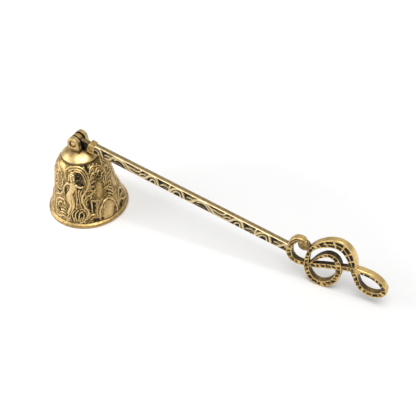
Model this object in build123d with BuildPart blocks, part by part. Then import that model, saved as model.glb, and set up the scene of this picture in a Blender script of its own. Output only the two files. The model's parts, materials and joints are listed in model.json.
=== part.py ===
from build123d import *
from math import asin, atan2, cos, degrees, hypot, sin
import os

# A brass candle snuffer: a bell on a fork hinge at the end of a slim bar that ends in a treble clef.
# Millimetres, +Z up the bell, origin in the middle of the mouth, the handle towards +X.

# Bell: outline shares are (radius over the mouth's radius, height over the bell's height).
mouth_diameter = 40.0
bell_height = 31.4
bell_wall = 1.5
lip_height = 1.6
lip_wall = 1.8
lip_round = 0.6
bell_outline_shares = [
    (0.955, 0.062),
    (0.89, 0.19),
    (0.825, 0.32),
    (0.755, 0.48),
    (0.71, 0.64),
    (0.655, 0.80),
    (0.55, 0.925),
    (0.44, 1.0),
]

# Fork: a smooth dome that sits on the bell's crown and carries two rounded ears.
boss_radius = 8.8
boss_rim = 0.6
dome_rise = 3.6
ear_radius = 3.1
ear_round = 0.5
fork_width = 8.8
pin_rise = 3.6
tenon_radius = 2.6
tenon_clearance = 0.03

# Screw inside the crown that draws the fork's tenon down.
screw_radius = 1.5
screw_reach = 2.4
screw_head_radius = 4.2
screw_head_height = 1.6
screw_slot_width = 0.9
screw_slot_depth = 0.7

# Hinge pin, riveted into a shallow recess at each ear.
pin_radius = 1.4
recess_radius = 1.95
recess_depth = 0.35
pin_running_clearance = 0.05

# Tang: an eye and a tongue between the ears, and a small block that takes the bar.
eye_radius = 3.0
eye_side_clearance = 0.65
eye_floor_clearance = 0.7
tang_thickness = 2.4
tongue_height = 4.2
block_start = 6.0
block_length = 3.7
block_height = 5.5
block_thickness = 4.0
block_slant = 0.9
spigot_radius = 0.9
spigot_length = 7.0
spigot_clearance = 0.03

# Bar of the handle, a little slimmer at its far end.
shaft_length = 97.9
shaft_start_height = 4.8
shaft_start_thickness = 3.0
shaft_end_height = 4.6
shaft_end_thickness = 2.9
shaft_round = 0.7

# Treble clef: path shares are (along the bar over the clef's length, across it over its height),
# measured from the bar's end, and each width share is of the stroke's width.
clef_length = 46.4
clef_height = 30.4
clef_thickness = 3.0
stem_thickness = 2.2
stroke_width = 2.7
ball_radius = 2.6
ball_center_shares = (0.142, 0.19)
root_length = 3.2
root_height = 3.8
hook_shares = [
    (0.150, 0.220, 0.6),
    (0.128, 0.262, 0.75),
    (0.090, 0.262, 0.9),
    (0.052, 0.205, 1.0),
    (0.037, 0.115, 1.0),
    (0.041, 0.005, 1.0),
    (0.065, -0.090, 1.0),
    (0.104, -0.145, 0.95),
    (0.150, -0.163, 0.9),
    (0.200, -0.152, 0.9),
    (0.242, -0.128, 0.9),
]
stem_shares = [
    (0.225, -0.140, 0.9),
    (0.304, -0.085, 1.0),
    (0.370, -0.020, 1.0),
    (0.474, 0.075, 1.0),
    (0.575, 0.158, 1.0),
    (0.640, 0.215, 1.0),
]
loop_top_shares = [
    (0.610, 0.190, 1.0),
    (0.670, 0.226, 0.95),
    (0.740, 0.250, 0.9),
    (0.810, 0.254, 0.9),
    (0.878, 0.228, 0.9),
    (0.935, 0.175, 0.9),
    (0.968, 0.100, 0.9),
    (0.962, 0.025, 0.95),
]
loop_low_shares = [
    (0.968, 0.100, 0.9),
    (0.962, 0.025, 0.95),
    (0.925, -0.038, 1.0),
    (0.870, -0.072, 1.0),
    (0.810, -0.064, 0.95),
    (0.755, -0.020, 0.9),
    (0.705, 0.062, 0.9),
    (0.665, 0.150, 1.05),
    (0.630, 0.240, 1.25),
]
arc_shares = [
    (0.665, 0.150, 1.05),
    (0.630, 0.240, 1.25),
    (0.592, 0.348, 1.45),
    (0.543, 0.436, 1.65),
    (0.487, 0.497, 1.8),
    (0.420, 0.514, 1.8),
    (0.350, 0.472, 1.55),
    (0.290, 0.390, 1.25),
    (0.245, 0.290, 0.95),
    (0.220, 0.180, 0.75),
    (0.219, 0.070, 0.7),
    (0.230, -0.035, 0.75),
    (0.252, -0.145, 0.85),
    (0.290, -0.250, 0.95),
    (0.345, -0.330, 1.05),
    (0.410, -0.362, 1.1),
]
ring_shares = [
    (0.345, -0.330, 1.05),
    (0.410, -0.362, 1.1),
    (0.470, -0.335, 1.15),
    (0.515, -0.258, 1.1),
    (0.540, -0.150, 1.0),
    (0.542, -0.030, 1.0),
    (0.525, 0.085, 1.0),
    (0.490, 0.190, 0.95),
    (0.440, 0.250, 0.9),
    (0.385, 0.245, 0.8),
    (0.340, 0.180, 0.65),
    (0.308, 0.090, 0.5),
    (0.285, -0.010, 0.35),
    (0.266, -0.100, 0.25),
]
floor_share = (0.413, -0.4160)

# A cut runs this far past the face that it opens.
overrun = 1.0

os.makedirs("parts", exist_ok=True)

mouth_radius = mouth_diameter / 2
crown_under = bell_height - bell_wall
dome_foot = bell_height + boss_rim
dome_top = dome_foot + dome_rise
pin_height = dome_top + pin_rise
slot_width = tang_thickness + 2 * eye_side_clearance
slot_floor = pin_height - eye_radius - eye_floor_clearance
block_end = block_start + block_length
shaft_end = block_end + shaft_length

# The handle leans until the clef's ring comes to rest on the table that the mouth stands on.
ring_along = shaft_end + floor_share[0] * clef_length
ring_across = floor_share[1] * clef_height
handle_lean = asin(pin_height / hypot(ring_along, ring_across)) - atan2(-ring_across, ring_along)
along = Vector(cos(handle_lean), 0, -sin(handle_lean))
hinge_point = Vector(0, 0, pin_height)

# Side view of the handle: x along the bar from the pin, y up across it, z towards the viewer.
handle_side = Plane(origin=hinge_point, x_dir=along, z_dir=(0, -1, 0))


def bar_section(distance):
    """Plane square to the bar, at a distance from the pin, with x through its thickness."""
    return Plane(origin=hinge_point + along * distance, x_dir=(0, 1, 0), z_dir=along)


def stroke_outline(shares):
    """Flat stroke of the clef: its path moved to each side by half of the width at each point."""
    path = [Vector(shaft_end + x * clef_length, y * clef_height) for x, y, width in shares]
    last = len(path) - 1
    left = []
    right = []
    for index, point in enumerate(path):
        ahead = path[min(index + 1, last)]
        behind = path[max(index - 1, 0)]
        heading = (ahead - behind).normalized()
        side = Vector(-heading.Y, heading.X) * (shares[index][2] * stroke_width / 2)
        left.append(point + side)
        right.append(point - side)
    with BuildSketch() as outline:
        with BuildLine():
            Spline(*left)
            Line(left[-1], right[-1])
            Spline(*right)
            Line(right[0], left[0])
        make_face()
    return outline.sketch


# Bell: a cast cup turned about the Z axis, open below, with a hole in its crown for the fork.
outer = [(r * mouth_radius, h * bell_height) for r, h in bell_outline_shares]
inner = [(r * mouth_radius - bell_wall, h * crown_under) for r, h in bell_outline_shares]
lip_inner_radius = mouth_radius - lip_wall
crown_hole_radius = tenon_radius + tenon_clearance

with BuildPart() as bell:
    with BuildSketch(Plane.XZ):
        with BuildLine():
            Polyline(inner[0], (lip_inner_radius, lip_height), (lip_inner_radius, 0), (mouth_radius, 0))
            Polyline((mouth_radius, 0), (mouth_radius, lip_height), outer[0])
            Spline(*outer)
            Polyline(outer[-1], (crown_hole_radius, bell_height), (crown_hole_radius, crown_under))
            Line((crown_hole_radius, crown_under), inner[-1])
            Spline(*inner)
        make_face()
    revolve(axis=Axis.Z)
    lip_edges = bell.edges().filter_by(GeomType.CIRCLE)
    lip_edges = lip_edges.filter_by(lambda edge: edge.radius > mouth_radius - lip_round)
    fillet(lip_edges, lip_round)
bell.part.label = "bell"

# Hinge fork: the dome is a cap of a sphere, and the ears rise out of it with a slot between them.
cap_radius = (boss_radius**2 + dome_rise**2) / (2 * dome_rise)
cap_half_angle = asin(boss_radius / cap_radius) / 2
cap_middle = (cap_radius * sin(cap_half_angle), dome_top - cap_radius * (1 - cos(cap_half_angle)))
screw_hole_depth = bell_wall + screw_reach

with BuildPart() as hinge_fork:
    with BuildSketch(Plane.XZ):
        with BuildLine():
            Polyline((0, dome_top), (0, crown_under), (tenon_radius, crown_under))
            Polyline((tenon_radius, crown_under), (tenon_radius, bell_height), (boss_radius, bell_height))
            Line((boss_radius, bell_height), (boss_radius, dome_foot))
            ThreePointArc((boss_radius, dome_foot), cap_middle, (0, dome_top))
        make_face()
    revolve(axis=Axis.Z)
    with BuildSketch(Plane.XZ):
        with Locations((0, pin_height)):
            Circle(ear_radius)
        with Locations((0, dome_foot)):
            Rectangle(2 * ear_radius, pin_height - dome_foot, align=(Align.CENTER, Align.MIN))
    extrude(amount=fork_width / 2, both=True)
    fillet(hinge_fork.edges().filter_by(GeomType.CIRCLE).group_by(Axis.Z)[-1], ear_round)
    with BuildSketch(Plane.XZ):
        with Locations((0, slot_floor)):
            slot_height = pin_height + ear_radius + overrun - slot_floor
            Rectangle(2 * boss_radius, slot_height, align=(Align.CENTER, Align.MIN))
    extrude(amount=slot_width / 2, both=True, mode=Mode.SUBTRACT)
    with BuildSketch(Plane.XZ):
        with Locations((0, pin_height)):
            Circle(pin_radius)
    extrude(amount=fork_width / 2 + overrun, both=True, mode=Mode.SUBTRACT)
    for facing in (-1, 1):
        ear_face = Plane(origin=(0, facing * fork_width / 2, pin_height), z_dir=(0, facing, 0))
        with BuildSketch(ear_face):
            Circle(recess_radius)
        extrude(amount=-recess_depth, mode=Mode.SUBTRACT)
    with BuildSketch(Plane.XY.offset(crown_under)):
        Circle(screw_radius)
    extrude(amount=screw_hole_depth, mode=Mode.SUBTRACT)
hinge_fork.part.label = "hinge_fork"

# Fork screw: a slotted screw whose head bears on the crown from inside the bell.
with BuildPart() as fork_screw:
    with BuildSketch(Plane.XY.offset(crown_under)):
        Circle(screw_radius)
    extrude(amount=screw_hole_depth)
    with BuildSketch(Plane.XY.offset(crown_under)):
        Circle(screw_head_radius)
    extrude(amount=-screw_head_height)
    with BuildSketch(Plane.XY.offset(crown_under - screw_head_height)):
        Rectangle(2 * screw_head_radius, screw_slot_width)
    extrude(amount=screw_slot_depth, mode=Mode.SUBTRACT)
fork_screw.part.label = "fork_screw"

# Hinge pin: a round rivet whose ends stop a little below the ears' faces, in their recesses.
pin_length = fork_width - recess_depth
with BuildPart() as hinge_pin:
    with BuildSketch(Plane.XZ):
        with Locations((0, pin_height)):
            Circle(pin_radius)
    extrude(amount=pin_length / 2, both=True)
hinge_pin.part.label = "hinge_pin"

# Hinge tang: the eye on the pin, the tongue, the slanted block and the spigot that enters the bar.
with BuildPart() as hinge_tang:
    with BuildSketch(handle_side):
        Circle(eye_radius)
        Rectangle(block_end, tongue_height, align=(Align.MIN, Align.CENTER))
    extrude(amount=tang_thickness / 2, both=True)
    with BuildSketch(handle_side):
        with BuildLine():
            Polyline(
                (block_start, -block_height / 2),
                (block_end, -block_height / 2),
                (block_end, block_height / 2),
                (block_start + block_slant, block_height / 2),
                close=True,
            )
        make_face()
    extrude(amount=block_thickness / 2, both=True)
    with BuildSketch(bar_section(block_end)):
        Circle(spigot_radius)
    extrude(amount=spigot_length)
    with BuildSketch(handle_side):
        Circle(pin_radius + pin_running_clearance)
    extrude(amount=tang_thickness, both=True, mode=Mode.SUBTRACT)
hinge_tang.part.label = "hinge_tang"

# Shaft: a rounded bar, lofted from its end at the block to its end at the clef, with a socket in each.
with BuildPart() as shaft:
    with BuildSketch(bar_section(block_end)):
        RectangleRounded(shaft_start_thickness, shaft_start_height, shaft_round)
    with BuildSketch(bar_section(shaft_end)):
        RectangleRounded(shaft_end_thickness, shaft_end_height, shaft_round)
    loft()
    for end, inwards in ((block_end, 1), (shaft_end, -1)):
        with BuildSketch(bar_section(end)):
            Circle(spigot_radius + spigot_clearance)
        extrude(amount=inwards * (spigot_length + spigot_clearance), mode=Mode.SUBTRACT)
shaft.part.label = "shaft"

# Clef: flat strokes of one casting, the stem thinner so that the arc and the ring stand before it.
with BuildPart() as clef:
    with BuildSketch(handle_side):
        add(stroke_outline(hook_shares))
        add(stroke_outline(loop_top_shares))
        add(stroke_outline(loop_low_shares))
        add(stroke_outline(arc_shares))
        add(stroke_outline(ring_shares))
        with Locations((shaft_end + ball_center_shares[0] * clef_length, ball_center_shares[1] * clef_height)):
            Circle(ball_radius)
    extrude(amount=clef_thickness / 2, both=True)
    with BuildSketch(handle_side):
        add(stroke_outline(stem_shares))
    extrude(amount=stem_thickness / 2, both=True)
    with BuildSketch(handle_side):
        with Locations((shaft_end, 0)):
            Rectangle(root_length, root_height, align=(Align.MIN, Align.CENTER))
    extrude(amount=shaft_end_thickness / 2, both=True)
    with BuildSketch(bar_section(shaft_end)):
        Circle(spigot_radius)
    extrude(amount=-spigot_length)
clef.part.label = "clef"

export_step(bell.part, "parts/bell.step")
export_step(hinge_fork.part, "parts/hinge_fork.step")
export_step(fork_screw.part, "parts/fork_screw.step")
export_step(hinge_pin.part, "parts/hinge_pin.step")
export_step(hinge_tang.part, "parts/hinge_tang.step")
export_step(shaft.part, "parts/shaft.step")
export_step(clef.part, "parts/clef.step")
print("handle lean in degrees:", round(degrees(handle_lean), 3))
print("lowest point of the clef:", round(clef.part.bounding_box().min.Z, 3))
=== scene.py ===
import json
import bpy
import numpy as np
from mathutils import Matrix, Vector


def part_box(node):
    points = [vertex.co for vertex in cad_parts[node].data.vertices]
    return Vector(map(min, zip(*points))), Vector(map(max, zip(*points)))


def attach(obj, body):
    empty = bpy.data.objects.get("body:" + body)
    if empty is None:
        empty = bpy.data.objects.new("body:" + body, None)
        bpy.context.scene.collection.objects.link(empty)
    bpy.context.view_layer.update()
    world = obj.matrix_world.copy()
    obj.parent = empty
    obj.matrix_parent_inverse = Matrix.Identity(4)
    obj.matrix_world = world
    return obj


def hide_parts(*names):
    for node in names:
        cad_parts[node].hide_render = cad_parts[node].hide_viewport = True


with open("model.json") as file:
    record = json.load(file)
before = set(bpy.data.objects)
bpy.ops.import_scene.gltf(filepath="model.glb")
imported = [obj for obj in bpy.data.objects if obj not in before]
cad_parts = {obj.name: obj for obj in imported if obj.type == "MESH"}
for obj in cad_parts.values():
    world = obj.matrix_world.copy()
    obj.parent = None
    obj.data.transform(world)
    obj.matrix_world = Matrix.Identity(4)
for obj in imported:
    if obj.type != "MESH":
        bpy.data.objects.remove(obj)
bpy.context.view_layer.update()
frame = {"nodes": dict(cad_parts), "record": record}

# Bell: a thin cast brass cup with a plain lip, its outside covered with acanthus leaves, scrolls and a
# small standing figure. It is chased, blackened with patina and rubbed back so that the high parts shine.
MM = 0.001
bell_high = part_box("bell")[1]
mouth_radius = bell_high[0] / MM
bell_height = bell_high[2] / MM
relief_peak = 0.42
relief_floor = -0.75
ground_sink = 0.3
shell_thickness = 1.0
map_radius = 15.0
half_turn = np.pi * map_radius
bell_columns = 490
relief_rows = 184
# Outline of the cup as shares of the mouth's radius and of the bell's height.
bell_outline_shares = np.array([
    (0.955, 0.062), (0.89, 0.19), (0.825, 0.32), (0.755, 0.48),
    (0.71, 0.64), (0.655, 0.80), (0.55, 0.925), (0.44, 1.0),
])
# Ridges of the ornament: width, height, then places as degrees round the bell and height above the table.
bell_ridges = (
    # Canopy leaf over the figure.
    (0.95, 0.40, [(-93, 29), (-87, 30.0), (-78, 30.4), (-67, 30.5), (-56, 30.2), (-48, 29.4),
                  (-43, 28.0), (-42, 26.6)]),
    (0.68, 0.36, [(-86, 28.6), (-79, 29.4), (-70, 29.6), (-60, 29.4), (-52, 28.6), (-47.5, 27),
                  (-45.5, 25), (-46, 23)]),
    (0.62, 0.32, [(-75, 28.2), (-72, 28.8), (-66, 28.8), (-60, 28.6), (-54, 27.7), (-51, 26.2),
                  (-49.5, 24.4), (-49, 22)]),
    # Stem that the canopy grows from, with its hooks.
    (1.10, 0.42, [(-42, 26.4), (-42, 24.2), (-46, 21.8), (-50, 19.7), (-57, 17.5), (-61, 15.1),
                  (-60, 12.8), (-57, 10.7), (-54, 9.2), (-53, 7.4), (-57, 5.6), (-63, 3.5),
                  (-68, 2.7)]),
    (0.75, 0.34, [(-60, 12.2), (-57, 14.4), (-53, 15.9), (-48, 16.6), (-43, 16), (-45, 14.9)]),
    (0.60, 0.28, [(-54, 12), (-54, 13.8), (-50, 14.8)]),
    (0.60, 0.28, [(-59, 9.3), (-56, 7.5), (-58, 6.2)]),
    # Fronds that leave the stem on its right.
    (0.80, 0.36, [(-46, 20.9), (-41, 22.4), (-36, 23.2), (-30, 23.1)]),
    (0.70, 0.34, [(-47, 20), (-41, 20.8), (-36, 21.3)]),
    (0.70, 0.34, [(-48, 18.8), (-42, 19.2), (-37, 18.3), (-34, 18.5)]),
    (0.70, 0.32, [(-45, 16.8), (-40, 17.5), (-35, 17.8)]),
    (0.70, 0.34, [(-38, 25.6), (-35, 26.5), (-30, 27.0), (-23, 27.2)]),
    (0.70, 0.32, [(-41, 23.9), (-37, 25.0), (-31, 25.5)]),
    # Curling leaf under the crown.
    (0.90, 0.40, [(-37, 27.6), (-32, 29.1), (-25, 29.6), (-16, 29.3), (-6, 28.5), (-2, 27.3),
                  (-2, 25.8), (-5, 25.2)]),
    (0.65, 0.34, [(-22, 27.0), (-18, 28.0), (-11, 28.0), (-6, 27.2), (-5, 26.4)]),
    (0.55, 0.32, [(-20, 26.0), (-16, 26.9), (-10, 26.8), (-9, 26.0)]),
    (0.60, 0.34, [(-5, 25.2), (-11, 25.0), (-13, 24.2), (-9, 23.5)]),
    (0.60, 0.30, [(-33, 28), (-27, 28.7), (-21, 28.6)]),
    # Tall reed on the right, with two side shoots.
    (0.85, 0.38, [(11, 30.8), (10, 30.0), (4, 29), (2, 27.2), (-1, 25), (-5, 22.8), (-7, 21),
                  (-8, 19.1)]),
    (0.65, 0.32, [(7, 29.1), (9, 27.7), (8, 26.2)]),
    (0.70, 0.34, [(-5, 22.1), (1, 22.8), (10, 22.8), (17, 22.9), (20, 24.3)]),
    (0.65, 0.32, [(-7, 19.6), (0, 21), (7, 21), (17, 21.1), (23, 21.3)]),
    # Small curls on both sides of the reed.
    (0.60, 0.36, [(5.0, 26.6), (9.0, 26.9), (12.0, 25.9), (11.0, 24.6), (8.0, 24.7)]),
    (0.60, 0.36, [(13.0, 29.2), (16.0, 28.0), (14.5, 26.4), (17.0, 25.4), (20.0, 25.8)]),
    (0.60, 0.36, [(-3.0, 18.6), (1.0, 19.2), (4.5, 18.2), (3.5, 16.8), (0.0, 17.0)]),
    (0.60, 0.36, [(-10.0, 22.6), (-13.0, 21.4), (-11.5, 19.6), (-14.0, 18.6)]),
    (0.60, 0.34, [(21.0, 29.4), (24.0, 27.8), (22.5, 25.8), (26.0, 24.2), (28.0, 22.2)]),
    (0.60, 0.34, [(27.0, 20.6), (29.5, 18.6), (27.5, 16.6), (24.0, 16.2)]),
    # Palm fan at the right foot.
    (0.85, 0.38, [(0, 5), (2, 7.8), (2, 11), (-1, 13.5), (-7, 15.6), (-13, 16.4)]),
    (0.70, 0.34, [(0, 7.4), (-1, 10.4), (-4, 12.6), (-10, 13.9)]),
    (0.65, 0.32, [(-2, 7.7), (-5, 10.1), (-8, 11.7), (-12, 12.7)]),
    (0.75, 0.36, [(0, 5.5), (4, 8.5), (6, 10.8), (10, 12.6)]),
    (0.80, 0.36, [(1, 5.3), (9, 8.2), (15, 10.2), (27, 9.6), (35, 7)]),
    (0.75, 0.36, [(3, 5.5), (9, 6.2), (21, 3.8), (29, 3.0), (36, 3.2), (38, 5.2)]),
    (0.70, 0.34, [(-15, 17.3), (-9, 17.3), (-1, 15.9), (4, 13.7), (3, 11.4)]),
    (0.60, 0.30, [(7, 6.8), (17, 7.2), (27, 6.8)]),
    # Arch round the smooth lobe.
    (0.95, 0.42, [(-37, 4.2), (-33, 8.5), (-27, 10.4), (-20, 11.5), (-12, 11.4), (-7, 9.9), (-4, 7.4),
                  (-4, 4.7), (-6, 2.8)]),
    (0.75, 0.34, [(-40, 4.8), (-38, 9.2), (-32, 11.3), (-25, 12.4)]),
    (0.65, 0.30, [(-27, 8.0), (-24, 9.6), (-19, 10.3), (-13, 10.0), (-9, 8.4), (-8, 6.3)]),
    # Low wall behind the stem, and the mound at its foot.
    (0.75, 0.34, [(-43, 13.4), (-36, 13), (-29, 12.6), (-23, 12.8)]),
    (0.80, 0.30, [(-36, 12.3), (-38, 9.8), (-40, 7.1)]),
    (0.60, 0.28, [(-45, 13.6), (-46, 10.8), (-47, 8)]),
    (0.75, 0.36, [(-57, 4.6), (-52, 6.0), (-45, 6.5), (-40, 5.9), (-36, 4.3)]),
    (0.60, 0.30, [(-52, 4.2), (-44, 5.3), (-38, 4.0)]),
    # Bush at the feet of the figure.
    (0.60, 0.36, [(-78, 3.9), (-80, 6), (-79, 7.8), (-75, 9.1)]),
    (0.60, 0.36, [(-73, 3.8), (-75, 6), (-74, 7.8), (-70, 9)]),
    (0.60, 0.36, [(-70, 3.7), (-69, 6.2), (-67, 7.9), (-63, 8.6)]),
    (0.60, 0.34, [(-65, 4), (-62, 5.7), (-61, 7.1), (-63, 8.2)]),
    (0.55, 0.32, [(-82, 3.3), (-84, 5.3), (-82, 7.1)]),
    (0.60, 0.40, [(-88, 3.0), (-88.5, 4.8), (-86, 6.4), (-82.5, 7.4)]),
    (0.55, 0.38, [(-85.5, 3.1), (-86, 4.2), (-84.5, 5.2)]),
    (0.55, 0.38, [(-79, 9.9), (-76, 10.6), (-72.5, 9.8)]),
    (0.50, 0.36, [(-66, 9.7), (-62, 9.9), (-59.5, 8.7)]),
    (0.50, 0.36, [(-76.5, 3.4), (-77, 4.8), (-75.8, 5.8)]),
    (0.50, 0.36, [(-67.5, 3.6), (-67, 4.8), (-65.4, 5.4)]),
    # Wavy ground between the figure and the stem.
    (0.65, 0.32, [(-69, 21.1), (-71, 18.1), (-70, 15), (-72, 12.1), (-72, 10.2)]),
    (0.60, 0.30, [(-64, 20), (-67, 17.5), (-66, 15.1), (-66, 12.8), (-64, 10.8)]),
    (0.55, 0.28, [(-60, 19.3), (-63, 17.5), (-62, 15.1), (-64, 13.1)]),
    # Scrolls and leaves on the left.
    (0.75, 0.36, [(-95, 20.8), (-99, 18), (-102, 16.3), (-110, 14.7), (-123, 13.4)]),
    (0.75, 0.36, [(-116, 7.4), (-118, 9.6), (-112, 12.2), (-104, 13), (-96, 12.4), (-95, 10.5)]),
    (0.65, 0.34, [(-111, 8.5), (-110, 10.2), (-103, 11), (-100, 9.9), (-93, 9.1)]),
    (0.65, 0.32, [(-97, 14.6), (-91, 13.3), (-88, 11.4)]),
    (0.60, 0.30, [(-103, 7.2), (-96, 7.6), (-91, 7.0)]),
    (0.60, 0.30, [(-104, 5.8), (-97, 6.2), (-91, 5.6)]),
    (0.75, 0.36, [(-118, 7.1), (-113, 5.5), (-110, 3.7), (-103, 3.8), (-96, 4.8), (-92, 4.2), (-90, 3)]),
    (0.65, 0.36, [(-152, 13.5), (-145, 16.6), (-136, 18.2), (-127, 18.4), (-119, 19.4), (-113, 21.6),
                  (-111.5, 24.4), (-115, 26.7), (-121, 26.9), (-125.8, 25.2), (-126.2, 22.7),
                  (-122.5, 21.1), (-118, 21.7), (-116, 23.5), (-118, 25.1), (-121, 24.9),
                  (-122.2, 23.6)]),
    (0.65, 0.32, [(-134, 18.4), (-133.5, 21.0), (-135.5, 23.6), (-140, 25.0)]),
    (0.60, 0.30, [(-131.5, 18.6), (-130.2, 21.4), (-131, 24.2), (-134.5, 26.4)]),
    (0.60, 0.30, [(-137, 18.2), (-138.5, 20.4), (-142.5, 22.0)]),
    (0.65, 0.32, [(-141, 17.0), (-136, 15.6), (-132, 14.6), (-127, 14.8)]),
    (0.60, 0.30, [(-147, 15.4), (-142, 13.6), (-137, 12.0)]),
    (0.60, 0.30, [(-121, 18.8), (-116, 18.6), (-110, 17.4), (-107, 17.6)]),
    (0.70, 0.34, [(-105, 26.5), (-102, 24.9), (-99, 22.3), (-104, 20)]),
    (0.70, 0.34, [(-131, 12.9), (-130, 8.1), (-134, 5.1)]),
    (0.70, 0.34, [(-146, 3.4), (-135, 3.6), (-124, 3.3)]),
    (0.75, 0.34, [(-150, 20), (-148, 24), (-143, 26.8), (-136, 28.0)]),
    (0.65, 0.32, [(-140, 4.6), (-142, 7.6), (-147, 9.8), (-152, 10.2)]),
    (0.60, 0.30, [(-137, 4.8), (-137.5, 8.0), (-141, 10.4)]),
    (0.60, 0.30, [(-126, 4.8), (-124, 7.4), (-125, 10.2), (-128, 12.4)]),
    # Broad smooth leaves on the shoulder.
    (2.60, 0.26, [(-122, 30.0), (-108, 29.6), (-96, 28.2), (-92, 25.4)]),
    (1.60, 0.24, [(-134, 29.0), (-122, 28.2), (-110, 27.2)]),
)
# The figure: for each limb its height, then places with the width at each one.
figure_limbs = (
    (0.66, [(-87.5, 6.8, 1.0), (-85.6, 8.4, 1.5), (-81.4, 10.8, 2.0), (-82.2, 13.0, 2.9),
            (-85.2, 15.6, 3.7), (-81.6, 18.4, 2.6), (-76.6, 20.8, 3.5), (-76.0, 22.4, 2.9),
            (-77.2, 23.7, 1.2)]),
    (0.46, [(-83.4, 7.8, 1.0), (-78.4, 10.4, 1.5), (-78.8, 13.2, 2.2), (-82.0, 16.0, 2.8)]),
    (0.68, [(-77.8, 24.7, 1.5), (-78.2, 25.5, 1.9), (-78.2, 26.4, 1.8)]),
    (0.50, [(-81, 22.6, 1.4), (-86.5, 22.9, 1.2), (-91, 22.1, 1.1), (-95, 20.8, 0.8)]),
    (0.50, [(-71.6, 22.4, 1.4), (-67, 22.0, 1.2), (-62, 21.3, 1.1), (-56, 21.6, 0.7)]),
    (0.58, [(-83.8, 24.3, 0.5), (-84.6, 25.7, 0.6), (-83.6, 27.1, 0.5)]),
    (0.58, [(-81.8, 28.0, 0.5), (-78.6, 28.5, 0.6), (-75.0, 28.1, 0.5)]),
    (0.58, [(-73.2, 27.3, 0.5), (-72.0, 26.0, 0.6), (-72.8, 24.5, 0.5)]),
    (0.54, [(-74.6, 24.2, 0.5), (-73.2, 23.4, 0.5), (-71.6, 23.9, 0.4)]),
    (0.60, [(-83.2, 24.7, 0.6), (-82.7, 26.5, 0.7), (-79.7, 27.6, 0.8), (-76.2, 27.5, 0.7),
            (-74.0, 26.3, 0.6), (-74.4, 25.0, 0.5)]),
)
# Cuts into the figure: width, depth and places. They part the legs and mark the chest and the belly. The
# face is calm and plain, with eyes at half the height of the head, then the nose and the mouth.
figure_cuts = (
    (0.60, 0.30, [(-81.4, 14.2), (-79.6, 11.8), (-82.0, 9.0), (-84.6, 7.2)]),
    (0.45, 0.16, [(-79.6, 20.6), (-76.6, 20.1), (-73.6, 20.6)]),
    (0.45, 0.12, [(-77.0, 20.0), (-80.2, 17.8), (-83.4, 15.4)]),
    (0.45, 0.12, [(-76.2, 22.6), (-76.4, 20.6)]),
    (0.40, 0.12, [(-88.6, 16.2), (-84.8, 14.2), (-81.0, 14.8)]),
    (0.42, 0.13, [(-79.8, 25.7), (-79.4, 25.7)]), (0.42, 0.13, [(-77.0, 25.7), (-76.6, 25.7)]),
    (0.34, 0.10, [(-79.1, 24.85), (-77.3, 24.85)]),
)
nose = (0.40, 0.08, [(-78.2, 25.8), (-78.2, 25.2)])
# Deep hollows that stay black: width, depth and places.
bell_hollows = (
    (4.4, 0.42, [(-63.5, 26.9), (-62.5, 25.2), (-61.5, 22.9)]), (1.7, 0.40, [(-41, 30.2), (-39, 29.0)]),
    (1.2, 0.36, [(-15, 25.6), (-12, 24.4)]), (0.9, 0.36, [(-32, 22.2), (-38, 21.7)]),
    (0.9, 0.36, [(-40, 20.0), (-36, 19.4)]), (1.7, 0.30, [(-50, 13), (-50, 11), (-50, 8.7)]),
    (1.6, 0.26, [(-42, 12.2), (-43, 9.7), (-44, 7.8)]), (1.2, 0.40, [(-46, 3.4), (-41, 3.3)]),
    (1.5, 0.36, [(-32, 3.7), (-28, 4.4)]), (1.8, 0.34, [(20, 5.0), (11, 4.4), (5, 3.6)]),
    (1.5, 0.28, [(25, 8.2), (20, 8.4)]), (4.4, 0.38, [(-84, 5.3), (-80, 5.6), (-72, 6.5), (-64, 5.9)]),
    (1.3, 0.34, [(-68, 17.7), (-68, 13.3)]), (0.9, 0.32, [(-23, 24.6), (-17, 24.2)]),
    (0.9, 0.32, [(-34, 24.2), (-30, 24.3)]), (1.3, 0.34, [(-68, 20.2), (-60, 20.8)]),
    (0.9, 0.28, [(-11, 15.2), (-6, 14.2)]), (1.2, 0.32, [(-93, 19.7), (-93, 16.8)]),
    (1.3, 0.30, [(-108, 7.4), (-104, 6.4)]), (0.8, 0.30, [(-7, 12.8), (-2, 11.9)]),
    (1.2, 0.28, [(-116, 16.6), (-108, 16.2)]), (1.0, 0.28, [(-101, 23.6), (-97, 21.6)]),
    (1.2, 0.26, [(34, 12.5), (38, 16)]), (1.0, 0.26, [(-103, 10.0), (-106, 9.4)]),
)
# Smooth swellings that are rubbed bright: width, height and places.
bell_swellings = (
    (5.6, 0.26, [(-17, 7.6), (-20, 6.2), (-23, 4.6)]),
    (3.2, 0.16, [(-24, 20.4), (-25, 17.5), (-28, 15.3)]),
    (3.6, 0.14, [(15, 18.0), (17, 14.4)]), (2.4, 0.12, [(-30, 7.0), (-31, 9.0)]),
)


def curve_through(points, count):
    """Natural cubic spline through the points by chord length, read at evenly spaced lengths."""
    points = np.asarray(points, float)
    chord = np.linalg.norm(np.diff(points[:, :2], axis=0), axis=1)
    knots = np.concatenate([[0.0], np.cumsum(chord)])
    size = len(points)
    system = np.eye(size)
    bend = np.zeros_like(points)
    inside = np.arange(1, size - 1)
    system[inside, inside - 1] = chord[:-1]
    system[inside, inside] = 2 * (chord[:-1] + chord[1:])
    system[inside, inside + 1] = chord[1:]
    slope = np.diff(points, axis=0) / chord[:, None]
    bend[1:-1] = 6 * np.diff(slope, axis=0)
    bend = np.linalg.solve(system, bend)
    length = np.linspace(0, knots[-1], count)
    span = np.clip(np.searchsorted(knots, length) - 1, 0, size - 2)
    step = chord[span][:, None]
    before = (length - knots[span])[:, None]
    after = step - before
    cubic = (bend[span] * after**3 + bend[span + 1] * before**3) / (6 * step)
    straight = (points[span] / step - bend[span] * step / 6) * after
    straight += (points[span + 1] / step - bend[span + 1] * step / 6) * before
    return cubic + straight


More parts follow.
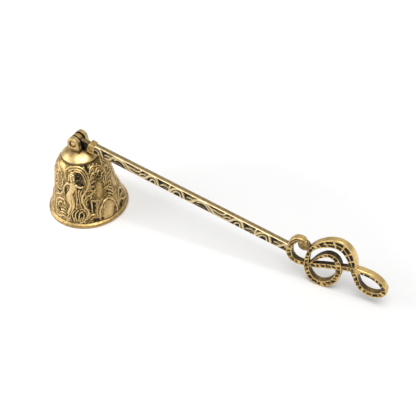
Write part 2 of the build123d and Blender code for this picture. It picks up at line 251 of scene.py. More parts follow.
def half_round(across_map, up_map, path, repeat, widths, height):
    """Height over a map of a half-round ridge along a path: the height times the square root of one less
    the squared share of the half width that the nearest point of the path lies away. The path comes
    again after each repeat, and the widths are spread evenly along it."""
    height_map = np.zeros(across_map.shape)
    halves = np.interp(np.linspace(0, 1, len(path)), np.linspace(0, 1, len(widths)), widths) / 2
    for number in range(len(path) - 1):
        start = path[number]
        step = path[number + 1] - start
        right = (across_map - start[0] + repeat / 2) % repeat - repeat / 2
        rise = up_map - start[1]
        share = np.clip((right * step[0] + rise * step[1]) / (step @ step), 0, 1)
        away = (right - share * step[0]) ** 2 + (rise - share * step[1]) ** 2
        half = halves[number] + (halves[number + 1] - halves[number]) * share
        height_map = np.maximum(height_map, 1 - away / half**2)
    return height * np.sqrt(height_map)


def on_bell(places):
    """Places given as degrees round the bell and height become lengths on the unrolled bell."""
    places = np.asarray(places, float)
    return np.column_stack([np.radians(places[:, 0]) * map_radius, places[:, 1]])


def grid_mesh(name, places, wear_and_shading, closed_loop):
    """Mesh of rings of places in millimetres, faces outwards, with the wear and painted shading kept as an
    attribute.
    The last ring joins the first one, or else both end rings are filled."""
    rings, columns = wear_and_shading.shape
    number = np.arange(rings * columns).reshape(rings, columns)
    low = number if closed_loop else number[:-1]
    high = np.roll(number, -1, axis=0) if closed_loop else number[1:]
    corners = np.stack([low, np.roll(low, -1, axis=1), np.roll(high, -1, axis=1), high], axis=-1)
    corners = corners.reshape(-1, 4)
    ends = [] if closed_loop else [number[0, ::-1], number[-1]]
    loops = np.concatenate([corners.ravel(), *ends])
    starts = np.concatenate([np.arange(0, corners.size, 4), corners.size + columns * np.arange(len(ends))])
    points = places.reshape(-1, 3) * MM
    mesh = bpy.data.meshes.new(name)
    mesh.vertices.add(len(points))
    mesh.vertices.foreach_set("co", points.ravel())
    mesh.loops.add(len(loops))
    mesh.loops.foreach_set("vertex_index", loops)
    mesh.polygons.add(len(starts))
    mesh.polygons.foreach_set("loop_start", starts)
    mesh.polygons.foreach_set("use_smooth", np.ones(len(starts), bool))
    mesh.update(calc_edges=True)
    first, second, third, fourth = (points[corners[:, corner]] for corner in range(4))
    across_face = np.cross(third - first, fourth - second)
    if np.einsum("ij,ij->i", across_face, first + second + third + fourth).sum() < 0:
        mesh.flip_normals()
    mesh.attributes.new("wear_and_shading", "FLOAT", "POINT").data.foreach_set("value", wear_and_shading.ravel())
    piece = bpy.data.objects.new(name, mesh)
    bpy.context.collection.objects.link(piece)
    return piece


def soften(field, times):
    """Blurs a field a number of times: each value becomes half of itself and a quarter of each neighbour,
    first across the columns, which close on themselves, and then along the rows."""
    for _ in range(times):
        field = (np.roll(field, 1, axis=1) + 2 * field + np.roll(field, -1, axis=1)) / 4
        tall = np.vstack([field[:1], field, field[-1:]])
        field = (tall[:-2] + 2 * tall[1:-1] + tall[2:]) / 4
    return field


outline = curve_through(bell_outline_shares * (mouth_radius, bell_height), relief_rows)
angles = np.linspace(-np.pi, np.pi, bell_columns, endpoint=False)
bell_map = np.meshgrid(angles * map_radius, outline[:, 1])
bare_map = np.zeros(bell_map[0].shape)


def carved(strokes):
    """Highest at each point of the bell's map of half-round strokes with straight runs and even widths."""
    height_map = bare_map
    for width, height, places in strokes:
        stroke = half_round(*bell_map, on_bell(places), half_turn, (width, width), height)
        height_map = np.maximum(height_map, stroke)
    return height_map


# Each leaf narrows to its tip, and its nearness is kept for the veins that run beside it.
steps_per_place = 4
tip_share = 0.6
vein_reach = 2.0
vein_spacing = 0.8
leaf_paths = [curve_through(on_bell(places), steps_per_place * len(places)) for *_, places in bell_ridges]
ridges = bare_map
nearness = bare_map
for (width, height, _), path in zip(bell_ridges, leaf_paths):
    leaf = half_round(*bell_map, path, half_turn, (width, width, tip_share * width), height)
    ridges = np.maximum(ridges, leaf)
    border = half_round(*bell_map, path, half_turn, (2 * vein_reach, 2 * vein_reach), 1.0)
    nearness = np.maximum(nearness, border)

# Short lobes lean out of the thicker leaves, first on one side and then on the other.
lobed_from = 0.7
lobed_below = 1.5
lobe_every = 3
lobe_widths = (0.6, 0.6, 0.3)
lobe_height_share = 0.75
lobe_bend = (0.45, 0.6)
lobe_tip = (1.15, 0.85)
for (width, height, _), stem in zip(bell_ridges, leaf_paths):
    if lobed_from <= width < lobed_below:
        lobe_at = np.arange(2, len(stem) - 2, lobe_every)
        ahead = stem[lobe_at + 1] - stem[lobe_at - 1]
        ahead /= np.linalg.norm(ahead, axis=1)[:, None]
        by_turns = np.where(np.arange(len(lobe_at)) % 2, 1, -1)[:, None]
        sideways = np.column_stack([-ahead[:, 1], ahead[:, 0]]) * by_turns
        for foot, forward, outward in zip(stem[lobe_at], ahead, sideways):
            lobe_path = np.array([
                foot,
                foot + lobe_bend[0] * forward + lobe_bend[1] * outward,
                foot + lobe_tip[0] * forward + lobe_tip[1] * outward,
            ])
            lobe = half_round(*bell_map, lobe_path, half_turn, lobe_widths, lobe_height_share * height)
            ridges = np.maximum(ridges, lobe)

# The limbs of the figure are rounded along their own curves, and the cuts and the nose are added to them.
steps_per_joint = 5
figure = bare_map
for height, places in figure_limbs:
    joints = np.column_stack([on_bell(places), np.array(places)[:, 2]])
    limb = curve_through(joints, steps_per_joint * len(places))
    figure = np.maximum(figure, half_round(*bell_map, limb[:, :2], half_turn, limb[:, 2], height))
for width, depth, places in figure_cuts:
    figure = figure - half_round(*bell_map, on_bell(places), half_turn, (width, width), depth)
nose_width, nose_height, nose_places = nose
nose_widths = (nose_width, nose_width)
figure = figure + half_round(*bell_map, on_bell(nose_places), half_turn, nose_widths, nose_height)
hollows = carved(bell_hollows)
swellings = carved(bell_swellings)


def share_above(value, start, span):
    """How far a value lies above a start, as a share of a span, kept between nought and one."""
    return np.clip((value - start) / span, 0, 1)


# The ground dies away into the plain lip and the smooth crown.
lip_line = 1.95
lip_fade = 0.35
crown_margin = 0.25
crown_fade = 0.7
low_fade = share_above(outline[:, 1:], lip_line, lip_fade)
high_fade = share_above(bell_height - crown_margin, outline[:, 1:], crown_fade)
ground = low_fade * high_fade
raised = soften(np.maximum(np.maximum(ridges, figure), swellings), 1)

# The cast ground is a little uneven. Fine veins run beside the leaves, more in some patches than in others,
# and small curls fill the hollows.
uneven_height = 0.035
vein_height = 0.09
vein_fade = 0.5
patch_level = 0.6
hollow_edge = 0.12
texture_edge = 0.2
curl_share = 0.75
uneven = soften(np.random.default_rng(5).standard_normal(raised.shape), 2)
uneven *= uneven_height / uneven.std()
beside = vein_reach * np.sqrt(np.clip(1 - nearness**2, 0, 1))
patches = soften(np.random.default_rng(7).standard_normal(raised.shape), 30)
patches = np.clip(patch_level + patch_level * patches / patches.std(), 0, 1)
vein_end = share_above(vein_reach, beside, vein_fade)
veins = vein_height * patches * np.sin(2 * np.pi * beside / vein_spacing) * vein_end
curls = soften(np.random.default_rng(9).standard_normal(raised.shape), 5)
curls = np.clip(curls / curls.std(), 0, 1)
deep = soften(hollows * np.clip(1 - raised / hollow_edge, 0, 1), 2) * (1 - curl_share * curls)
open_ground = np.clip(1 - raised / texture_edge - hollows / texture_edge, 0, 1)
relief = raised + (uneven + veins) * open_ground - deep
lift = ground * np.clip(relief - ground_sink, relief_floor, relief_peak)

# Wear: cloth and fingers rub the edges and the high parts bright, and the hollows keep their patina. A dark
# line is left above the lip, and two sides of the bell are handled more than the others. The plain band under
# the crown is dark: patina in the seam and painted shade under the dome's edge.
ground_wear = 0.41
handled_wear = 0.16
handled_side = np.radians(122)
edge_gain = 2.0
height_gain = 0.6
hollow_loss = 2.0
swelling_gain = 0.9
foot_loss = 0.35
foot_height = 2.35
foot_spread = 0.3
lip_wear = 0.6
# Patina in the seam and painted shade under the dome's edge make the plain crown band dark.
crown_patina_and_shade = 0.22
back_wear = 0.3
edge = relief - soften(relief, 8)
handled = handled_wear * np.cos(angles + handled_side) ** 2
foot_line = foot_loss * np.exp(-((outline[:, 1:] - foot_height) / foot_spread) ** 2)
bell_wear_and_shade = ground_wear + handled + edge_gain * edge + height_gain * relief
bell_wear_and_shade = bell_wear_and_shade - hollow_loss * deep + swelling_gain * soften(swellings, 12) - foot_line
plain_wear_and_shade = np.where(outline[:, 1:] < bell_height / 2, lip_wear, crown_patina_and_shade)
bell_wear_and_shade = np.clip(bell_wear_and_shade, 0, 1) * ground + (1 - ground) * plain_wear_and_shade

# The cast shell is a closed ring: its relief outside, and a plain face inside the wall.
slope = np.gradient(outline, axis=0)
normal = np.column_stack([slope[:, 1], -slope[:, 0]]) / np.linalg.norm(slope, axis=1)[:, None]
back_row_step = 30
behind = (outline - shell_thickness * normal)[::-back_row_step]
flat = np.ones((1, bell_columns))
ring_radius = np.vstack([outline[:, :1] + normal[:, :1] * lift, behind[:, :1] * flat])
ring_height = np.vstack([outline[:, 1:] + normal[:, 1:] * lift, behind[:, 1:] * flat])
bell_places = np.stack([ring_radius * np.cos(angles), ring_radius * np.sin(angles), ring_height], axis=-1)
bell_wear_and_shade = np.vstack([bell_wear_and_shade, back_wear * np.ones((len(behind), bell_columns))])
bell = grid_mesh("bell_relief", bell_places, bell_wear_and_shade, closed_loop=True)


def linear(hex_colour):
    """sRGB hex colour as linear red, green, blue and alpha: a straight line near black, a power above."""
    value = np.array([int(hex_colour[place:place + 2], 16) for place in (1, 3, 5)]) / 255
    light = np.where(value <= 0.04045, value / 12.92, ((value + 0.055) / 1.055) ** 2.4)
    return (*light, 1.0)


def add_node(tree, kind, inputs=(), **settings):
    """Adds a node, sets its own settings, and sets or links the inputs given by name or number."""
    node = tree.nodes.new(kind)
    for name, value in settings.items():
        setattr(node, name, value)
    for name, value in dict(inputs).items():
        if isinstance(value, bpy.types.NodeSocket):
            tree.links.new(value, node.inputs[name])
        else:
            node.inputs[name].default_value = value
    return node


def antique_brass(name, patina_and_shade, dull, rubbed, bright):
    """Cast brass, blackened in a bath and rubbed back on a cloth wheel. The attribute holds wear and, on some
    pieces, painted shade and painted highlight. Shifted by soft blotches, it runs along four colours, from a
    dark, rough, half metallic patina, which also serves as painted shade, to smooth bright metal."""
    blotch_size = 1.4 * MM
    # Casting grit is finer than this, and is drawn coarser so that it shows.
    grit_size = 0.31 * MM
    grit_height = 0.08 * MM
    grit_strength = 0.35
    blotch_shift = 0.24
    patina_roughness = 0.6
    bright_roughness = 0.26
    patina_metal = 0.5
    full_metal_from = 0.3
    colour_stops = ((0.05, patina_and_shade), (0.30, dull), (0.58, rubbed), (0.92, bright))
    material = bpy.data.materials.new(name)
    material.use_nodes = True
    tree = material.node_tree
    shader = tree.nodes["Principled BSDF"]
    wear_and_shading = add_node(tree, "ShaderNodeAttribute", attribute_name="wear_and_shading").outputs["Fac"]
    spot = add_node(tree, "ShaderNodeTexCoord").outputs["Object"]
    blotch = add_node(tree, "ShaderNodeTexNoise", {"Vector": spot, "Scale": 1 / blotch_size, "Detail": 5.0})
    grit = add_node(tree, "ShaderNodeTexNoise", {"Vector": spot, "Scale": 1 / grit_size, "Detail": 3.0})
    shift = add_node(tree, "ShaderNodeMapRange", {
        "Value": blotch.outputs["Fac"], "To Min": -blotch_shift, "To Max": blotch_shift,
    }).outputs["Result"]
    level = add_node(tree, "ShaderNodeMath", {0: wear_and_shading, 1: shift}, operation="ADD", use_clamp=True).outputs[0]
    ramp = add_node(tree, "ShaderNodeValToRGB", {"Fac": level})
    for position, colour in colour_stops[1:-1]:
        ramp.color_ramp.elements.new(position)
    for stop, (position, colour) in zip(ramp.color_ramp.elements, colour_stops):
        stop.position = position
        stop.color = linear(colour)
    rough = add_node(tree, "ShaderNodeMapRange", {
        "Value": level, "To Min": patina_roughness, "To Max": bright_roughness,
    })
    metal = add_node(tree, "ShaderNodeMapRange", {
        "Value": level, "From Max": full_metal_from, "To Min": patina_metal,
    })
    bump = add_node(tree, "ShaderNodeBump", {
        "Height": grit.outputs["Fac"], "Strength": grit_strength, "Distance": grit_height,
    })
    tree.links.new(ramp.outputs["Color"], shader.inputs["Base Color"])
    tree.links.new(rough.outputs["Result"], shader.inputs["Roughness"])
    tree.links.new(metal.outputs["Result"], shader.inputs["Metallic"])
    tree.links.new(bump.outputs["Normal"], shader.inputs["Normal"])
    return material


# Chased brass shows black hollows, olive brown slopes and pale gold along every edge.
bell_brass = antique_brass("chased_bell_brass", "#1B140C", "#5F5030", "#A48751", "#E8CA92")
bell.data.materials.append(bell_brass)
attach(bell, "bell")
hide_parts("bell")

# Lining of the bell: the bare inner wall of the same casting, dull from the mould, with the hole for the
# screw in its crown. The plain lip below the relief is turned to a bead and rubbed bright.
bell_wall = 1.5
lip_height = 1.6
lip_wall = 1.8
crown_hole_radius = 2.63
lining_columns = 200
inner_row_step = 8
tucked_row_step = 12
tuck_depth = 0.7
lip_inside = mouth_radius - lip_wall
lip_chamfer = 0.4
crown_cover_radius = 8.2
lining_wear_inside = 0.42
lining_wear_lip = 0.64
# The bead as lengths in from the mouth's radius and up from the table.
lip_bead_steps = np.array([
    (0.6, 0), (0.25, 0.12), (0.05, 0.4), (0, 0.75), (0.05, 1.1), (0.25, 1.45), (0.55, 1.75), (0.85, 1.93),
])
inner = outline[::-inner_row_step] * (1, (bell_height - bell_wall) / bell_height) - (bell_wall, 0)
tucked = (outline - tuck_depth * normal)[tucked_row_step // 2::tucked_row_step]
lip_bead = np.column_stack([mouth_radius - lip_bead_steps[:, 0], lip_bead_steps[:, 1]])
crown_edge = np.array([
    (crown_cover_radius, bell_height), (crown_hole_radius, bell_height),
    (crown_hole_radius, bell_height - bell_wall),
])
lining_profile = np.vstack([
    crown_edge,
    inner,
    [(lip_inside, lip_height), (lip_inside, lip_chamfer), (lip_inside + lip_chamfer, 0)],
    lip_bead,
    tucked,
])
lining_angles = np.linspace(-np.pi, np.pi, lining_columns, endpoint=False)
lining_places = np.stack([
    lining_profile[:, :1] * np.cos(lining_angles),
    lining_profile[:, :1] * np.sin(lining_angles),
    lining_profile[:, 1:] * np.ones((1, lining_columns)),
], axis=-1)
lining_wear = np.full(lining_places.shape[:2], lining_wear_inside)
lining_wear[len(crown_edge) + len(inner):] = lining_wear_lip
lining = grid_mesh("bell_lining", lining_places, lining_wear, closed_loop=True)
lining.data.materials.append(bell_brass)
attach(lining, "bell")

# Hinge fork and its screw: a turned dome with two filed ears, held down by a screw from inside the bell.
# Both keep the solids of the frame, which have the right shape, and get only their finish and painted shade
# here.
joint = frame["record"]["behaviour"]["joints"][0]
slot_half_width = 1.85 * MM
slot_edge = 0.25 * MM
slot_floor = 35.6 * MM
slot_floor_fade = 1.0 * MM
pin_ring_inside = 1.5 * MM
pin_ring_outside = 1.9 * MM
ear_face = 4.1 * MM
ear_face_edge = 0.1 * MM
foot_band_rise = (33.4 * MM, 35.4 * MM)
foot_band_fall = (37.4 * MM, 35.8 * MM)
foot_band_shade = 0.5
smear_size = 2.6 * MM
smear_levels = (0.5, 1.25)
polish_roughness = 0.36
polish_stops = ((0.0, "#1C150D"), (0.45, "#806740"), (0.95, "#D2B882"))
# Polished brass, turned, buffed and then dulled by air and fingers. It gives broad soft reflections under
# faint smears. It is painted black as shade in the slot and in a ring round the pin, and painted darker where
# the ears rise from the dome, as shade and a dark reflection.
polished = bpy.data.materials.new("polished_brass")
polished.use_nodes = True
polish_tree = polished.node_tree
polish_shader = polish_tree.nodes["Principled BSDF"]
polish_spot = add_node(polish_tree, "ShaderNodeTexCoord").outputs["Object"]
smear = add_node(polish_tree, "ShaderNodeTexNoise", {
    "Vector": polish_spot, "Scale": 1 / smear_size, "Detail": 5.0,
}).outputs["Fac"]
parts = add_node(polish_tree, "ShaderNodeSeparateXYZ", {0: polish_spot}).outputs
aside = add_node(polish_tree, "ShaderNodeMath", {0: parts["Y"]}, operation="ABSOLUTE").outputs[0]
# Painted shade: black in the slot between the ears and in a ring round the pin.
beside_slot = add_node(polish_tree, "ShaderNodeMapRange", {
    "Value": aside, "From Min": slot_half_width, "From Max": slot_half_width + slot_edge,
}).outputs["Result"]
below_slot = add_node(polish_tree, "ShaderNodeMapRange", {
    "Value": parts["Z"], "From Min": slot_floor, "From Max": slot_floor - slot_floor_fade,
}).outputs["Result"]
out_of_slot_shade = add_node(polish_tree, "ShaderNodeMath", {
    0: beside_slot, 1: below_slot,
}, operation="MAXIMUM").outputs[0]
level_spot = add_node(polish_tree, "ShaderNodeCombineXYZ", {"X": parts["X"], "Z": parts["Z"]}).outputs[0]
from_pin = add_node(polish_tree, "ShaderNodeVectorMath", {
    0: level_spot, 1: (0, 0, joint["pos_m"][2]),
}, operation="DISTANCE").outputs["Value"]
past_ring = add_node(polish_tree, "ShaderNodeMapRange", {
    "Value": from_pin, "From Min": pin_ring_inside, "From Max": pin_ring_outside,
}).outputs["Result"]
off_ear = add_node(polish_tree, "ShaderNodeMapRange", {
    "Value": aside, "From Min": ear_face, "From Max": ear_face + ear_face_edge,
}).outputs["Result"]
off_pin_ring_shade = add_node(polish_tree, "ShaderNodeMath", {0: past_ring, 1: off_ear}, operation="MAXIMUM").outputs[0]
outside_painted_shade = add_node(polish_tree, "ShaderNodeMath", {
    0: out_of_slot_shade, 1: off_pin_ring_shade,
}, operation="MULTIPLY").outputs[0]
shown = add_node(polish_tree, "ShaderNodeMapRange", {
    "Value": smear, "To Min": smear_levels[0], "To Max": smear_levels[1],
}).outputs["Result"]
# Painted shade and dark reflection on the dome where the ears rise from it.
rising = add_node(polish_tree, "ShaderNodeMapRange", {
    "Value": parts["Z"], "From Min": foot_band_rise[0], "From Max": foot_band_rise[1],
    "To Max": foot_band_shade,
}).outputs["Result"]
falling = add_node(polish_tree, "ShaderNodeMapRange", {
    "Value": parts["Z"], "From Min": foot_band_fall[0], "From Max": foot_band_fall[1],
    "To Max": foot_band_shade,
}).outputs["Result"]
ear_foot_shade = add_node(polish_tree, "ShaderNodeMath", {0: rising, 1: falling}, operation="MINIMUM").outputs[0]
smears_and_shade = add_node(polish_tree, "ShaderNodeMath", {0: shown, 1: ear_foot_shade}, operation="SUBTRACT").outputs[0]
shine_and_shade = add_node(polish_tree, "ShaderNodeMath", {0: outside_painted_shade, 1: smears_and_shade}, operation="MULTIPLY").outputs[0]
tint = add_node(polish_tree, "ShaderNodeValToRGB", {"Fac": shine_and_shade})
tint.color_ramp.elements.new(polish_stops[1][0])
for stop, (position, colour) in zip(tint.color_ramp.elements, polish_stops):
    stop.position = position
    stop.color = linear(colour)
polish_tree.links.new(tint.outputs["Color"], polish_shader.inputs["Base Color"])
polish_shader.inputs["Metallic"].default_value = 1.0
polish_shader.inputs["Roughness"].default_value = polish_roughness
for node in ("hinge_fork", "fork_screw"):
    piece = frame["nodes"][node]
    piece.data.materials.clear()
    piece.data.materials.append(polished)

# Hinge pin: a short brass rod pushed through both ears and the tang. Its ends are headed over with a hammer,
# so a low dome shows in each ear, painted darker round its rim as shade where it sinks into the ear.
pin_height = joint["pos_m"][2] / MM
pin_radius = 1.4
pin_half_length = 4.22
dome_height = 0.38
dome_power = 2.4
pin_columns = 64
pin_wear_middle = 0.78
pin_rim_shade = 0.5
pin_rim_shade_power = 6
pin_turn = np.linspace(0, 2 * np.pi, pin_columns, endpoint=False)[None, :]
dome = np.linspace(0.08, 1, 12)
dome_through = pin_half_length - dome_height * dome**dome_power
pin_reach = np.concatenate([dome * pin_radius, dome[::-1] * pin_radius])[:, None]
pin_through = np.concatenate([-dome_through, dome_through[::-1]])[:, None]
pin_places = np.stack(np.broadcast_arrays(
    pin_reach * np.cos(pin_turn), pin_through, pin_height + pin_reach * np.sin(pin_turn),
), axis=-1)
# Painted shade: the pin's ends darken towards the rim.
pin_wear_and_shade = np.clip(pin_wear_middle - pin_rim_shade * (pin_reach / pin_radius) ** pin_rim_shade_power, 0, 1)
pin_wear_and_shade = pin_wear_and_shade * np.ones((1, pin_columns))
pin = grid_mesh("pin_headed", pin_places, pin_wear_and_shade, closed_loop=False)
pin.data.materials.append(bell_brass)
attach(pin, "bell")
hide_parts("hinge_pin")

# Tang of the handle: a flat tongue with a drilled eye, filed to swing between the ears, and the square block
# behind it with a small swirl engraved on each side. It is cast in the handle's brass, and the tongue is
# painted
# dark where the slot shades it: on its faces, and darker still behind the pin. The handle leans so that the
# lowest point of the clef rests on the table.
shaft_start = 9.7
shaft_length = 97.9
shaft_end = shaft_start + shaft_length
clef_length = 46.4
clef_height = 30.4
# Lowest point of the clef, as shares of its length and height.
lowest_share = (0.413, -0.4160)
eye_radius = 3.0
eye_hole_radius = 1.45
tongue_half_height = 1.7
tongue_half_thickness = 1.2
tongue_overlap = 0.4
eye_columns = 120
shaded_from = 0.6
shade_share = 0.6
block_start = 6.0
block_end = 9.9
block_half_height = 2.6
block_half_thickness = 2.0
block_slant = 0.9
block_points = 44
block_corner = 0.16
block_end_share = 0.14
block_end_loss = 0.12
block_side_span = (0.9, 0.1)
block_frame_span = (0.66, 0.08)
engraving_depth = 0.28
# The swirl winds out by the pitch for each radian, between two angles.
swirl_pitch = 0.16
swirl_angles = (0.6, 10.5)
swirl_widths = (0.45, 0.5)
no_repeat = 100.0
block_wear_high = 0.78
engraved_loss = 0.42
plain_side_loss = 0.15
lowest_along = shaft_end + lowest_share[0] * clef_length
lowest_across = lowest_share[1] * clef_height
lean = np.arcsin(pin_height / np.hypot(lowest_along, lowest_across))
lean = lean - np.arctan2(-lowest_across, lowest_along)


def on_handle(along, across, through):
    """Place on the handle from lengths along the bar from the pin, up across it and through its thickness:
    the two first ones are turned down by the lean about the pin, and the third stays as it is."""
    x = along * np.cos(lean) + across * np.sin(lean)
    z = pin_height - along * np.sin(lean) + across * np.cos(lean)
    return np.stack(np.broadcast_arrays(x, through, z), axis=-1)


def section_loop(face_points, wall_points, corner):
    """Rounded square of half size one, as across and through shares of points on its walls, corners and
    faces. The straight parts are evenly spaced, and each corner is a quarter circle."""
    straight = 1 - corner
    face = np.linspace(straight, -straight, face_points)
    wall = np.linspace(-straight, straight, wall_points)
    bend = np.linspace(0, np.pi / 2, 6)[1:-1]
    wide = straight + corner * np.cos(bend)
    deep = straight + corner * np.sin(bend)
    one_face, one_wall = np.ones(face_points), np.ones(wall_points)
    across = np.concatenate([one_wall, wide, face, -deep, -one_wall, -wide, -face, deep])
    through = np.concatenate([wall, deep, one_face, wide, -wall, -deep, -one_face, -wide])
    return across[None, :], through[None, :]


# Rings of the tongue from the hole in one face round its edge to the hole in the other face: share of the
# reach, with zero for the hole itself, share of the half thickness, and wear with painted shade, low on the
# faces that sit in the slot's shade.
tongue_rings = np.array([
    (0, -1, 0), (0.93, -1, 0.05), (0.98, -0.92, 0.3), (1, -0.75, 0.6),
    (1, 0.75, 0.6), (0.98, 0.92, 0.3), (0.93, 1, 0.05), (0, 1, 0),
])
reach_share, side_share, ring_wear_and_shade = (tongue_rings[:, [column]] for column in range(3))
eye_turn = np.linspace(0, 2 * np.pi, eye_columns, endpoint=False)
to_side = tongue_half_height / np.maximum(np.abs(np.sin(eye_turn)), 1e-6)
to_end = (block_start + tongue_overlap) / np.maximum(np.cos(eye_turn), 1e-6)
behind_pin = np.maximum(eye_radius, np.minimum(to_side, to_end))
eye_reach = np.where(np.cos(eye_turn) > 0, behind_pin, eye_radius)
tongue_reach = np.where(reach_share == 0, eye_hole_radius, reach_share * eye_reach)
tongue_through = side_share * tongue_half_thickness
tongue_places = on_handle(tongue_reach * np.cos(eye_turn), tongue_reach * np.sin(eye_turn), tongue_through)
# Painted shade: the part behind the pin, in the slot, is darker.
tongue_wear_and_shade = ring_wear_and_shade * np.where(np.cos(eye_turn) < shaded_from, 1.0, shade_share)
tongue = grid_mesh("tang_tongue", tongue_places, tongue_wear_and_shade, closed_loop=True)
# Cast brass of the handle, greyer in its hollows and a deeper gold where it is rubbed than the bell's.
handle_brass = antique_brass("cast_handle_brass", "#1D1710", "#66563B", "#AD8F59", "#E6C684")
tongue.data.materials.append(handle_brass)
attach(tongue, "handle")
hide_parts("hinge_tang")

block_across, block_through = section_loop(block_points, 14, block_corner)
block_step = np.linspace(0, 1, block_points)[:, None]
from_block_middle = np.abs(block_step * 2 - 1)
near_end = share_above(from_block_middle, 1 - block_end_share, block_end_share)
block_round = 1 - block_end_loss * near_end
block_rise = block_across * block_half_height
block_lean = block_slant * (0.5 + block_across / 2) * (1 - block_step)
block_along = block_start + (block_end - block_start) * block_step + block_lean
side_face = share_above(np.abs(block_through), *block_side_span)
frame_edge = np.maximum(np.abs(block_across), from_block_middle)
raised_frame = share_above(frame_edge, *block_frame_span)
swirl_turn = np.linspace(*swirl_angles, 60)
swirl_reach = swirl_pitch * swirl_turn
swirl_path = np.column_stack([swirl_reach * np.cos(swirl_turn), swirl_reach * np.sin(swirl_turn)])
swirl_map = np.broadcast_arrays((block_step - 0.5) * (block_end - block_start), block_rise)
swirl = half_round(*swirl_map, swirl_path, no_repeat, swirl_widths, 1.0)
engraved = (1 - np.maximum(raised_frame, swirl)) * side_face
block_depth = block_half_thickness - engraving_depth * engraved
block_places = on_handle(block_along, block_rise * block_round, block_through * block_depth * block_round)
block_wear = np.clip(block_wear_high - engraved_loss * engraved - plain_side_loss * (1 - side_face), 0, 1)
block = grid_mesh("tang_block", block_places, block_wear, closed_loop=False)
block.data.materials.append(handle_brass)
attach(block, "handle")

# Shaft: a cast bar with a rounded rail along its top and bottom, and a vine in relief along each side. The
# casting is blackened and then rubbed, so the hollows between the strands stay dark and the rails shine. A
# painted shadow darkens the ground far from the strands, and the rails' shoulders are paler from rubbing and
# a painted highlight.
shaft_half_heights = (2.4, 2.3)
shaft_half_thicknesses = (1.5, 1.45)
vine_repeat = 43.3
vine_start = 54.9
vine_depth = 0.5
shaft_overlap = 1.2
shaft_corner = 0.3
vine_face_span = (0.8, 0.15)
shoulder_span = (0.25, 0.3)
rail_edge = 1.95
rail_slope = 0.2
rail_crown = 0.22
strand_swell = 2.0
leaf_swell = 1.6
leaf_height = 0.62
vine_wear_low = 0.2
vine_gain = 0.7
vine_shadow = 0.2
vine_shadow_reach = 2.2
rail_wear = 0.45
shoulder_wear_and_highlight = 0.27
shaft_rings = 620
# Strands of the vine: width, then places along the shaft and across its side.
vine_strands = (
    (0.75, [(-4.9, -2.2), (-4.4, -1.2), (-3.2, 0.6), (-1.6, 1.8), (0.4, 2.1), (1.6, 0.9), (2.5, -1.1),
            (3.2, -2.3)]),
    (0.80, [(4.2, -2.2), (6.7, -1.2), (8.4, 1.0), (9.9, 1.9), (11.9, 2.1), (14, 1.6), (15.8, 0.5),
            (17.9, -1.2), (20.6, -1.8), (24, -1.8), (26, -1.0), (27.2, 0.6), (28.4, 1.6), (30.9, 1.6),
            (32.3, -0.8), (33.2, -2.3)]),
    (0.55, [(9.3, 0.2), (11, 1.1), (13.2, 0.8), (15.0, -0.6), (16.8, -2.1)]),
    (0.55, [(16.2, 0.4), (18.5, 0.4), (21, 0.1), (22.6, 0.8), (23.4, 2.0)]),
    (0.65, [(38.5, 2.2), (38.2, 0), (38.6, -2.2)]),
    (0.50, [(-3.2, -2.2), (-1.9, -0.1), (-0.4, 0.3), (0.6, -0.6), (1.0, -2.2)]),
    (0.50, [(28.2, -2.2), (29.2, -0.1), (30.2, 0.2), (30.9, -0.8), (31.2, -2.2)]),
    (0.45, [(34.0, -0.6), (35.6, 0.2), (37.4, 0.0)]),
    (0.45, [(4.2, 0.0), (5.6, 0.3), (7.0, 0.1)]),
    (0.45, [(22.8, -0.8), (24.2, 0.2), (25.8, 0.6)]),
)
# Lower leaves between the strands, written the same way.
vine_leaves = (
    (0.55, [(39.8, -2.2), (40.6, -0.6), (41.8, 0.4), (43.2, 0.8)]),
    (0.50, [(34.4, 2.2), (35.2, 1.3), (36.8, 1.1)]),
    (0.50, [(34.8, -2.2), (36.0, -1.3), (37.4, -1.2)]),
    (0.50, [(5.0, 2.2), (6.0, 1.4), (7.4, 1.6)]),
    (0.50, [(7.8, -2.2), (9.4, -1.3), (11.2, -1.0), (13.4, -1.4)]),
    (0.45, [(18.6, 2.2), (19.8, 1.4), (21.4, 1.5)]),
    (0.45, [(24.6, 2.2), (25.2, 1.5), (26.6, 1.9)]),
)


def from_to(pair, share):
    """Value that lies the given share of the way from the first of the pair to the second."""
    return pair[0] + (pair[1] - pair[0]) * share


rail_across, rail_through = section_loop(44, 12, shaft_corner)
along = np.linspace(shaft_start, shaft_end + shaft_overlap, shaft_rings)[:, None]
part_way = (along - shaft_start) / shaft_length
half_height = from_to(shaft_half_heights, part_way)
half_thick = from_to(shaft_half_thicknesses, part_way)
vine_face = share_above(np.abs(rail_through), *vine_face_span)
across = rail_across * (half_height - rail_crown * rail_through**2 * (1 - vine_face))
vine_map = np.broadcast_arrays(along - vine_start, across)
vine = share_above(np.abs(across), rail_edge, rail_slope)
for strands, swell, height in ((vine_strands, strand_swell, 1.0), (vine_leaves, leaf_swell, leaf_height)):
    for width, places in strands:
        path = curve_through(places, steps_per_place * len(places))
        strand = half_round(*vine_map, path, vine_repeat, (swell * width, swell * width), height)
        vine = np.maximum(vine, strand)
through = rail_through * (half_thick - vine_depth * (1 - vine) * vine_face)
# Rubbing and a painted highlight: the rail's top is paler towards its shoulders.
shoulder = share_above(np.abs(rail_through), *shoulder_span)
vine_hollow = np.clip(1 - vine_shadow_reach * soften(vine, 5), 0, 1)
vine_wear_and_shadow = vine_wear_low + vine_gain * vine**2 - vine_shadow * vine_hollow
shaft_wear_and_shading = vine_wear_and_shadow * vine_face + (rail_wear + shoulder_wear_and_highlight * shoulder) * (1 - vine_face)
shaft_wear_and_shading = np.clip(shaft_wear_and_shading, 0, 1)
shaft = grid_mesh("shaft_vine", on_handle(along, across, through), shaft_wear_and_shading, closed_loop=False)
